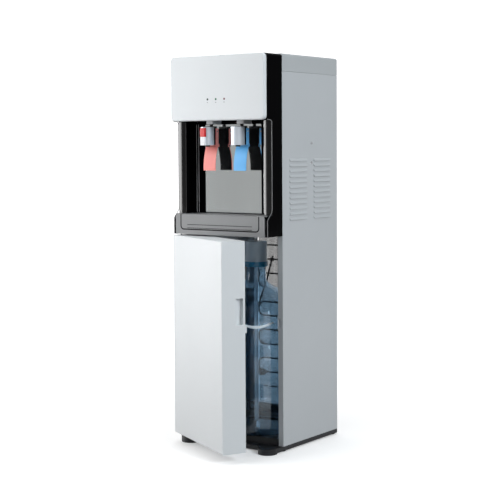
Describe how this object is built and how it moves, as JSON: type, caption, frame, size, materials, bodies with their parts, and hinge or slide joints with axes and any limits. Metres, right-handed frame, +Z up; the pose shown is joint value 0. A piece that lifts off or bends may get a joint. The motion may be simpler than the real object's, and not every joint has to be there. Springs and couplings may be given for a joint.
{
  "type": "bottom load water cooler",
  "caption": "Free-standing water cooler with hot and cold lever taps over a pull-out drip tray and a hinged door on the bottle bay below.",
  "frame": {"origin": "on the floor, under the middle of the side panels' footprint", "axes": "+Z up, -Y towards the front with the taps, +X to the right seen from the front"},
  "size_m": [0.3196, 0.4967, 1.05],
  "materials": {
    "white_moulding": "satin white moulded plastic",
    "liner_white": "matt white moulded plastic",
    "panel_grey": "smooth mid grey powder coat",
    "cover_grey": "mid grey moulded plastic",
    "galvanised": "galvanised sheet",
    "gloss_black": "high-gloss black plastic",
    "matt_black": "matt black plastic",
    "tray_grey": "fine-textured grey plastic",
    "mirror_steel": "polished stainless sheet",
    "silver": "silver-painted plastic",
    "hot_red": "translucent red plastic",
    "cold_blue": "translucent blue plastic",
    "tap_body_black": "black plastic",
    "pale_grey": "pale grey plastic",
    "lens": "smoked clear lens",
    "circuit_board": "green laminate",
    "pin_steel": "turned steel",
    "screw_steel": "nickel-plated steel",
    "rubber_black": "black rubber",
    "bottle_blue": "clear blue-tinted polycarbonate",
    "probe_grey": "grey moulded plastic",
    "ring_blue": "blue moulded plastic",
    "probe_white": "white moulded plastic",
    "hose_clear": "translucent silicone hose",
    "condenser_black": "black-painted steel tube",
    "wire_black": "black-painted steel wire",
    "clip_black": "black nylon",
    "compressor_black": "black-painted pressed steel",
    "copper": "drawn copper",
    "stainless": "stainless steel",
    "foam": "white moulded foam",
    "pump_grey": "grey plastic pump",
    "rocker_red": "red rocker",
    "rocker_green": "green rocker"
  },
  "bodies": {
    "cabinet": {"base_plinth": "matt_black", "levelling_feet": "rubber_black", "bottle_platform": "matt_black", "side_panel_left": "panel_grey", "side_panel_right": "panel_grey", "side_screws": "screw_steel", "top_cover": "cover_grey", "rear_panel": "panel_grey", "compressor_shelf": "galvanised", "tank_deck": "galvanised", "front_housing": "gloss_black", "control_panel": "white_moulding", "indicator_lenses": "lens", "control_board": "circuit_board", "niche_liner": "gloss_black", "niche_back_plate": "mirror_steel", "tray_frame": "tray_grey", "hot_tap_body": "tap_body_black", "cold_tap_body": "tap_body_black", "hot_tap_shell": "silver", "cold_tap_shell": "silver", "tap_nozzles": "pale_grey", "tap_pivot_pins": "pin_steel", "tap_mounts": "pale_grey", "child_lock_housing": "silver", "catch_keeper": "probe_white", "hinge_bracket_lower": "pin_steel", "hinge_pin_upper": "pin_steel", "bottle_shell": "bottle_blue", "probe_cap": "probe_grey", "probe_ring": "ring_blue", "dip_tube": "probe_white", "supply_hose": "hose_clear", "condenser_tube": "condenser_black", "condenser_wires": "wire_black", "condenser_brackets": "clip_black", "return_pipe": "condenser_black", "compressor": "compressor_black", "compressor_grommets": "rubber_black", "filter_drier": "copper", "cold_tank": "stainless", "hot_tank": "stainless", "tank_jackets": "foam", "water_pump": "pump_grey", "switch_frames": "matt_black", "drain_outlet": "probe_white", "cord_inlet": "matt_black"},
    "bottle_door": {"door_shell": "white_moulding", "door_liner": "liner_white", "door_bushes": "probe_white", "door_catch": "probe_white"},
    "drip_tray": {"drip_tray": "tray_grey"},
    "drip_grille": {"drip_grille": "tray_grey"},
    "hot_lever": {"hot_tap_lever": "hot_red"},
    "cold_lever": {"cold_tap_lever": "cold_blue"},
    "child_lock": {"child_lock_button": "hot_red"},
    "heating_rocker": {"heating_switch": "rocker_red"},
    "cooling_rocker": {"cooling_switch": "rocker_green"},
    "drain_cap": {"drain_cap": "probe_white"}
  },
  "joints": [
    {"name": "door_hinge", "type": "hinge", "parent": "cabinet", "child": "bottle_door", "pos_m": [-0.146, -0.184, 0.298], "axis": [0, 0, -1], "range_deg": [-27.5, 82.5]},
    {"name": "drip_tray_slide", "type": "slide", "parent": "cabinet", "child": "drip_tray", "axis": [0, -1, 0], "range_m": [0, 0.055]},
    {"name": "drip_grille_lift", "type": "slide", "parent": "drip_tray", "child": "drip_grille", "axis": [0, 0, 1], "range_m": [0, 0.08]},
    {"name": "hot_lever_pivot", "type": "hinge", "parent": "cabinet", "child": "hot_lever", "pos_m": [-0.0505, -0.17, 0.849], "axis": [1, 0, 0], "range_deg": [0, 12], "stiffness_Nm_per_rad": 1.5, "springref_deg": -2.86},
    {"name": "cold_lever_pivot", "type": "hinge", "parent": "cabinet", "child": "cold_lever", "pos_m": [0.0505, -0.17, 0.849], "axis": [1, 0, 0], "range_deg": [0, 12], "stiffness_Nm_per_rad": 1.5, "springref_deg": -2.86},
    {"name": "child_lock_press", "type": "slide", "parent": "cabinet", "child": "child_lock", "axis": [0, 1, 0], "range_m": [0, 0.0025], "stiffness_N_per_m": 600, "springref_m": -0.0005},
    {"name": "heating_rocker_tilt", "type": "hinge", "parent": "cabinet", "child": "heating_rocker", "pos_m": [0.048, 0.1286, 0.88], "axis": [1, 0, 0], "range_deg": [0, 18]},
    {"name": "cooling_rocker_tilt", "type": "hinge", "parent": "cabinet", "child": "cooling_rocker", "pos_m": [0.082, 0.1286, 0.88], "axis": [1, 0, 0], "range_deg": [0, 18]},
    {"name": "drain_cap_pull", "type": "slide", "parent": "cabinet", "child": "drain_cap", "axis": [0, 1, 0], "range_m": [0, 0.025]}
  ]
}
